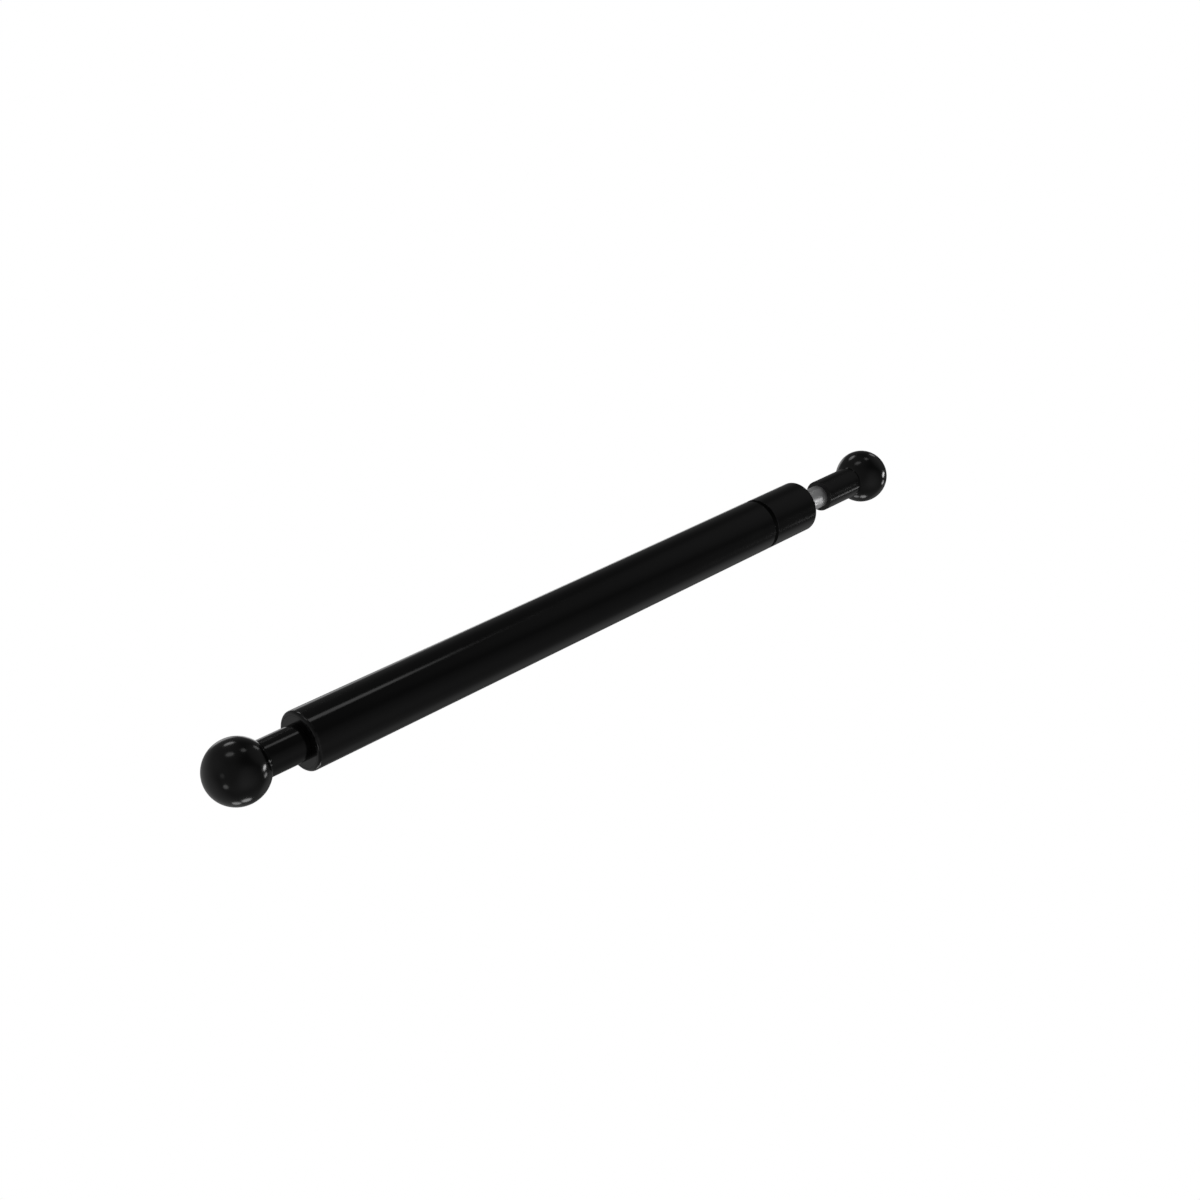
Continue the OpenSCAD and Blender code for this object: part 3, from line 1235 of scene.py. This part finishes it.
@dataclass(frozen=True)
class Softbox:
    """A round or oval studio lamp, far off and aimed at the strut.

    Args:
        name: what the lamp is called.
        azimuth: degrees about the upright axis, from +X towards +Y.
        elevation: degrees above the horizon.
        width: degrees that it spans as the strut sees it.
        height: degrees that it spans upright.
        level: its brightness, where 1 is white.
    """

    name: str
    azimuth: float
    elevation: float
    width: float
    height: float
    level: float

    def hang(self, aim: Vector, distance: float) -> None:
        """Hangs the lamp.

        Args:
            aim: the point that it faces.
            distance: how far from there it hangs.
        """
        light = bpy.data.lights.new(self.name, "AREA")
        light.shape = "ELLIPSE"
        light.size = 2 * distance * math.tan(math.radians(self.width / 2))
        light.size_y = 2 * distance * math.tan(math.radians(self.height / 2))
        area = math.pi * light.size * light.size_y / 4
        light.energy = self.level * math.pi * area
        lamp = in_scene(self.name, light)
        way = compass(self.azimuth, self.elevation)
        lamp.location = aim + way * distance
        lamp.rotation_euler = (-way).to_track_quat("-Z", "Y").to_euler()


@dataclass(frozen=True)
class Glow:
    """A soft patch of light on the walls.

    Args:
        name: what the patch is called.
        azimuth: degrees about the upright axis, from +X towards +Y.
        elevation: degrees above the horizon.
        spread: degrees from its middle to its edge.
        level: its brightness in the middle, where 1 is white.
    """

    name: str
    azimuth: float
    elevation: float
    spread: float
    level: float

    def light(self, nodes: Nodes, way: Socket) -> Socket:
        """Adds the patch to the walls.

        Args:
            nodes: the walls' nodes.
            way: the direction looked in.

        Returns:
            The light that the patch adds in that direction.
        """
        ways = {0: way, 1: compass(self.azimuth, self.elevation)}
        near = nodes.node("ShaderNodeVectorMath", ways, operation="DOT_PRODUCT", label=self.name)
        edge = math.cos(math.radians(self.spread))
        return nodes.spread(near.outputs["Value"], 0.0, self.level, edge, 1.0, "SMOOTHSTEP")


@dataclass
class Studio:
    """A plain white floor and backdrop, dim grey walls out of view, and soft lamps."""

    lamp_distance: float = 4.0
    floor_size: float = 6.0
    wall_level: float = 0.06
    lamps: tuple[Softbox, ...] = (
        Softbox("Back_lamp", 71.5, 39.9, 21, 12, 2.1),
        Softbox("Top_lamp", 139.5, 74.9, 13, 23, 1.1),
        Softbox("High_lamp", 2.4, 63.6, 11, 14, 0.98),
        Softbox("Far_lamp", 16, 19.2, 9.5, 14, 1.05),
        Softbox("Side_lamp", -24, -5.1, 18, 9.5, 7.5),
        Softbox("Low_side_lamp", -26.2, -21.6, 13.4, 8.5, 3.0),
        Softbox("Near_lamp", -160.5, -16.9, 14, 12.5, 1.4),
        Softbox("Base_lamp", -171.6, 13.8, 13, 13, 0.3),
        Softbox("Under_lamp", -70.7, -78.3, 19, 15, 2.8),
        Softbox("Low_lamp", 145, -82.7, 16, 13.5, 1.8),
    )
    glows: tuple[Glow, ...] = (
        Glow("over_behind", 138, 56, 66, 0.088),
        Glow("rod_side", -12, 28, 34, 0.085),
        Glow("near_strip", -86, 0, 46, 0.1),
        Glow("near_side", -122, 8, 62, 0.09),
        Glow("base_side", 158, -3, 66, 0.085),
        Glow("behind", 76, -16, 66, 0.07),
        Glow("low_behind", 125, -38, 66, 0.18),
        Glow("low_near", -97, -46, 66, 0.085),
        Glow("under_rod", 40, -56, 66, 0.03),
        Glow("low_far", -8, -42, 24, 0.13),
        Glow("paper_base", 67, -4, 14, 0.9),
        Glow("paper_behind", 49, -14, 10, 1.1),
    )

    def build(self) -> None:
        """Builds the studio."""
        low, high = CAD_BOX
        aim = (low + high) / 2
        for lamp in self.lamps:
            lamp.hang(aim, self.lamp_distance)
        self._lay_floor(aim, low.z)
        self._light_walls()
        bpy.context.scene.view_settings.view_transform = "Standard"
        LOG.info("studio with %d lamps", len(self.lamps))

    def _lay_floor(self, middle: Vector, level: float) -> None:
        """Lays the floor, which the camera sees as plain white and the strut doesn't see.

        Args:
            middle: the point that it lies under.
            level: its height.
        """
        half = self.floor_size / 2
        mesh = bpy.data.meshes.new("Floor")
        spots = [(-half, -half), (half, -half), (half, half), (-half, half)]
        mesh.from_pydata([(middle.x + x, middle.y + y, level) for x, y in spots], [], [(0, 1, 2, 3)])
        floor = in_scene("Floor", mesh)
        paper = bpy.data.materials.new("White_paper")
        nodes = Nodes(paper)
        white = nodes.node("ShaderNodeEmission").outputs["Emission"]
        nodes.node("ShaderNodeOutputMaterial", {"Surface": white})
        mesh.materials.append(paper)
        for ray in ("diffuse", "glossy", "transmission", "volume_scatter", "shadow"):
            setattr(floor, f"visible_{ray}", False)

    def _light_walls(self) -> None:
        """Lights the walls: white where the camera looks, dim and uneven where the strut looks."""
        world = bpy.data.worlds.new("Studio_walls")
        bpy.context.scene.world = world
        nodes = Nodes(world)
        way = nodes.node("ShaderNodeTexCoord").outputs["Generated"]
        level: Value = self.wall_level
        for glow in self.glows:
            level = nodes.maths("ADD", level, glow.light(nodes, way))
        white = (1.0, 1.0, 1.0, 1.0)
        walls = nodes.node("ShaderNodeBackground", {"Color": white, "Strength": level})
        backdrop = nodes.node("ShaderNodeBackground", {"Color": white})
        mix = nodes.node("ShaderNodeMixShader", {
            0: nodes.node("ShaderNodeLightPath").outputs["Is Camera Ray"],
            1: walls.outputs["Background"],
            2: backdrop.outputs["Background"],
        })
        nodes.node("ShaderNodeOutputWorld", {"Surface": mix.outputs["Shader"]})


@dataclass
class ProductCamera:
    """A camera that looks down on the strut's middle from the base end."""

    azimuth: float = -136.18
    elevation: float = 27.03
    distance: float = 531.75 * MM
    ahead: float = -0.91 * MM
    aside: float = 0.07 * MM
    lens: float = 50.0
    sensor: float = 36.0
    sees_from: float = 10 * MM
    sees_to: float = 20.0

    def build(self) -> None:
        """Places the camera and makes it the scene's."""
        low, high = CAD_BOX
        aim = Vector(((low.x + high.x) / 2 + self.ahead, (low.y + high.y) / 2 + self.aside, 0.0))
        back = compass(self.azimuth, self.elevation)
        data = bpy.data.cameras.new("Product_camera")
        data.lens = self.lens
        data.sensor_width = self.sensor
        data.clip_start = self.sees_from
        data.clip_end = self.sees_to
        camera = in_scene("Product_camera", data)
        camera.location = aim + back * self.distance
        camera.rotation_euler = (-back).to_track_quat("-Z", "Y").to_euler()
        bpy.context.scene.camera = camera
        LOG.info("camera at azimuth %.1f, elevation %.1f", self.azimuth, self.elevation)


def main() -> None:
    """Builds the strut, the studio and the camera, in order."""
    logging.basicConfig(level=logging.INFO, format="%(message)s")
    ProductCamera().build()
    Cylinder().build()
    RodEnd().build()
    Rod().build()
    for strut_end in StrutEnd:
        BallSocket(strut_end).build()
    InnerParts().build()
    Studio().build()


if __name__ == "__main__":
    main()
